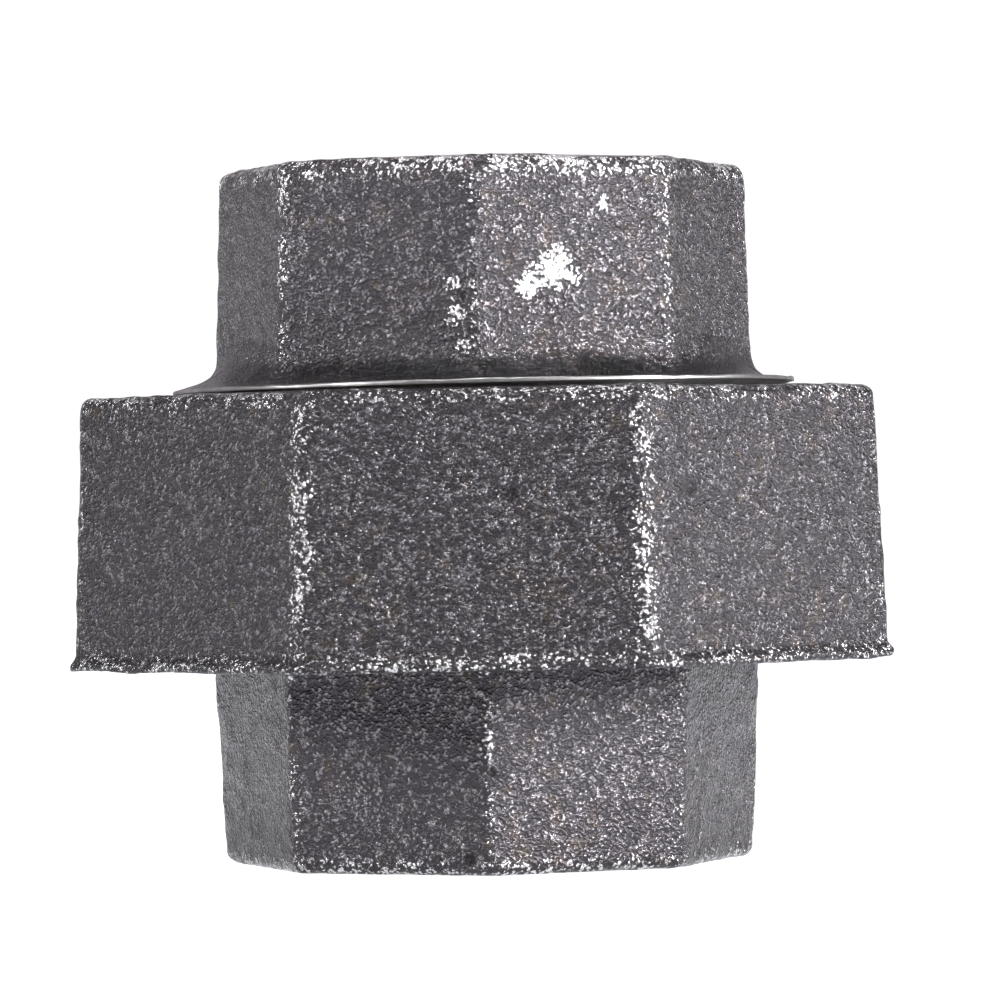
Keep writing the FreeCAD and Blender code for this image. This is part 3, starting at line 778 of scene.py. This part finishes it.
# ---- floor, light and camera ----
def floor():
    mesh = bpy.data.meshes.new("floor")
    half = 4.0
    corners = [(-half, -half, 0), (half, -half, 0), (half, half, 0), (-half, half, 0)]
    mesh.from_pydata(corners, [], [(0, 1, 2, 3)])
    plane = bpy.data.objects.new("floor", mesh)
    bpy.context.scene.collection.objects.link(plane)
    m = Nodes("glowing_floor_painted_shadow")
    where = m.node("ShaderNodeTexCoord").outputs["Object"]
    away = m.node("ShaderNodeVectorMath", operation="LENGTH")
    m.link(where, away.inputs[0])
    # the floor glows, and its glow is dimmed near the axis as a painted contact shadow
    m.link(m.span(away.outputs["Value"], 0.03, 0.09, 0.74, 1.04), m.shader.inputs["Emission Strength"])
    m.shader.inputs["Base Color"].default_value = (0.5, 0.52, 0.56, 1)
    m.shader.inputs["Roughness"].default_value = 0.9
    m.shader.inputs["Emission Color"].default_value = (1, 1, 1, 1)
    mesh.materials.append(m.material)


def light(name, azimuth, elevation, distance, size, power):
    """A softbox aimed at the middle of the union. Azimuth 0 is the camera's side, 90 the right."""
    data = bpy.data.lights.new(name, "AREA")
    data.shape = "RECTANGLE"
    data.size, data.size_y = size
    data.energy = power
    lamp = bpy.data.objects.new(name, data)
    a, e = math.radians(azimuth), math.radians(elevation)
    aim = np.array([0, 0, 0.03])
    lamp.location = aim + distance * np.array([
        math.sin(a) * math.cos(e), -math.cos(a) * math.cos(e), math.sin(e)])
    lamp.rotation_euler = Euler((math.pi / 2 - e, 0, a), "XYZ")
    bpy.context.scene.collection.objects.link(lamp)


def studio():
    scene = bpy.context.scene
    world = bpy.data.worlds.new("studio")
    world.use_nodes = True
    tree = world.node_tree
    tree.nodes.clear()
    out = tree.nodes.new("ShaderNodeOutputWorld")
    seen = tree.nodes.new("ShaderNodeBackground")
    seen.inputs["Color"].default_value = (1, 1, 1, 1)
    seen.inputs["Strength"].default_value = 1.05
    room = tree.nodes.new("ShaderNodeBackground")
    room.inputs["Color"].default_value = (0.98, 0.92, 1.0, 1)
    where = tree.nodes.new("ShaderNodeTexCoord")
    split = tree.nodes.new("ShaderNodeSeparateXYZ")
    tree.links.new(where.outputs["Generated"], split.inputs[0])
    behind = tree.nodes.new("ShaderNodeVectorMath")
    behind.operation = "DOT_PRODUCT"
    tree.links.new(where.outputs["Generated"], behind.inputs[0])
    behind.inputs[1].default_value = (-0.45, 0.89, 0)
    back = tree.nodes.new("ShaderNodeMapRange")
    above = tree.nodes.new("ShaderNodeMapRange")
    for ramp, source, span in (
        (back, behind.outputs["Value"], (-0.6, 0.95, 0.07, 0.56)),
        (above, split.outputs["Z"], (0.15, 0.8, 1.0, 0.85)),
    ):
        for key, value in zip(SPAN, span):
            ramp.inputs[key].default_value = value
        tree.links.new(source, ramp.inputs["Value"])
    both = tree.nodes.new("ShaderNodeMath")
    both.operation = "MULTIPLY"
    tree.links.new(back.outputs["Result"], both.inputs[0])
    tree.links.new(above.outputs["Result"], both.inputs[1])
    tree.links.new(both.outputs[0], room.inputs["Strength"])
    path = tree.nodes.new("ShaderNodeLightPath")
    mix = tree.nodes.new("ShaderNodeMixShader")
    tree.links.new(path.outputs["Is Camera Ray"], mix.inputs["Fac"])
    tree.links.new(room.outputs[0], mix.inputs[1])
    tree.links.new(seen.outputs[0], mix.inputs[2])
    tree.links.new(mix.outputs[0], out.inputs["Surface"])
    scene.world = world
    light("right_softbox", 62, 14, 0.6, (0.14, 0.22), 11.0)
    light("left_softbox", -60, 24, 0.7, (0.2, 0.25), 5.5)
    light("top_softbox", 10, 78, 0.6, (0.25, 0.25), 3.0)
    scene.view_settings.view_transform = "Standard"


def camera():
    data = bpy.data.cameras.new("camera")
    data.lens = 201.5
    data.sensor_width = 36.0
    data.clip_start = 0.01
    data.clip_end = 20.0
    cam = bpy.data.objects.new("camera", data)
    cam.location = (0.00126, -0.470, 0.0305)
    cam.rotation_euler = Euler((math.radians(90.0 - 0.045), 0, 0), "XYZ")
    cam.rotation_euler.rotate_axis("Z", math.radians(-0.75))
    bpy.context.scene.collection.objects.link(cam)
    bpy.context.scene.camera = cam


floor()
studio()
camera()
